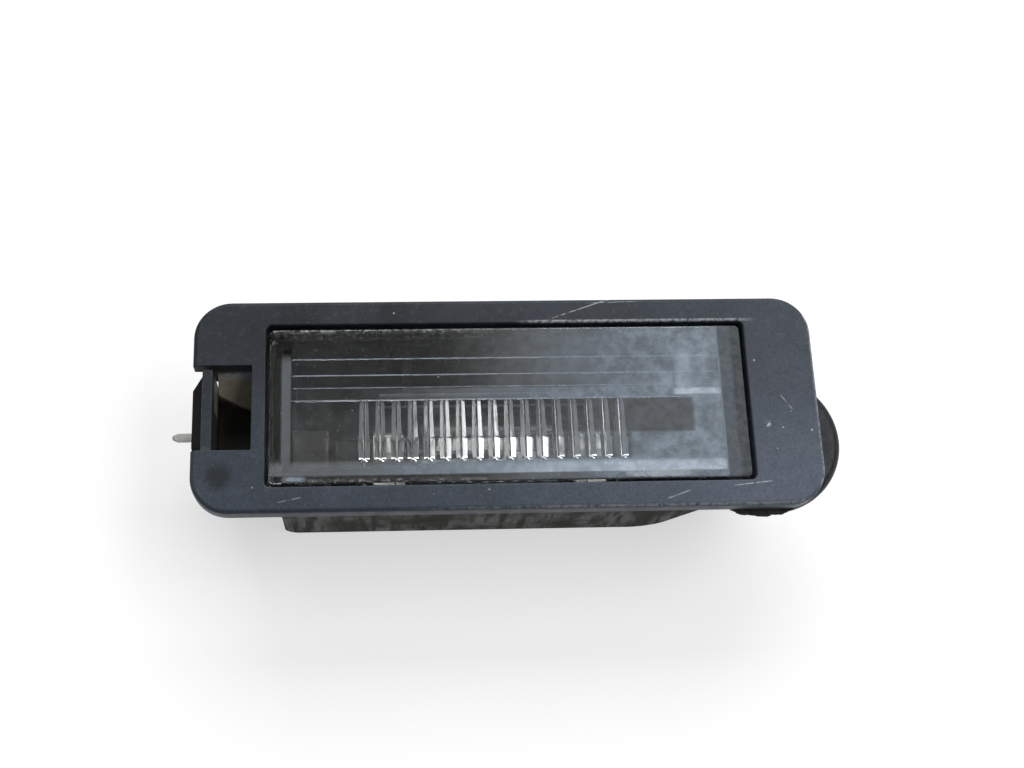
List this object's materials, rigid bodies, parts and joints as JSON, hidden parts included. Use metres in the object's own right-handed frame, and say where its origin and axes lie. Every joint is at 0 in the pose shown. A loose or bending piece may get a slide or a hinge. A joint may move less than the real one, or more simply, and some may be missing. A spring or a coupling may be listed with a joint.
{
  "type": "number plate lamp",
  "caption": "Clip-in car number plate lamp: black bezel with moulded latch and nose lug, clear fluted lens tray, rear housing with plug socket, and a festoon bulb between contact strips.",
  "frame": {"origin": "centre of the bezel's back face, which seats on the panel", "axes": "+X along the bezel towards the nose lug, +Y across it, +Z out of the lens; it rests on the flat back of the housing"},
  "size_m": [0.0913, 0.0301, 0.0235],
  "materials": {
    "bezel_plastic": "faded black moulded plastic, fine grain, dusty and scratched",
    "housing_plastic": "black moulded plastic, brown road dust",
    "lens_clear": "clear moulded plastic, slightly hazed",
    "seal_rubber": "soft black rubber",
    "gasket_foam": "worn black foam",
    "tinned_strip": "tinned, dulled",
    "reflector_sheet": "bright rolled sheet",
    "bulb_glass": "clear glass",
    "bulb_cap_metal": "nickel plated, dull",
    "filament_wire": "drawn wire"
  },
  "bodies": {
    "root": {"front_frame": "bezel_plastic", "lens": "lens_clear", "lens_seal": "seal_rubber", "panel_gasket": "gasket_foam", "rear_housing": "housing_plastic", "contact_live": "tinned_strip", "contact_earth": "tinned_strip", "reflector": "reflector_sheet", "bulb_glass": "bulb_glass", "bulb_cap_left": "bulb_cap_metal", "bulb_cap_right": "bulb_cap_metal", "bulb_filament": "filament_wire", "bulb_leads": "filament_wire"}
  },
  "joints": []
}
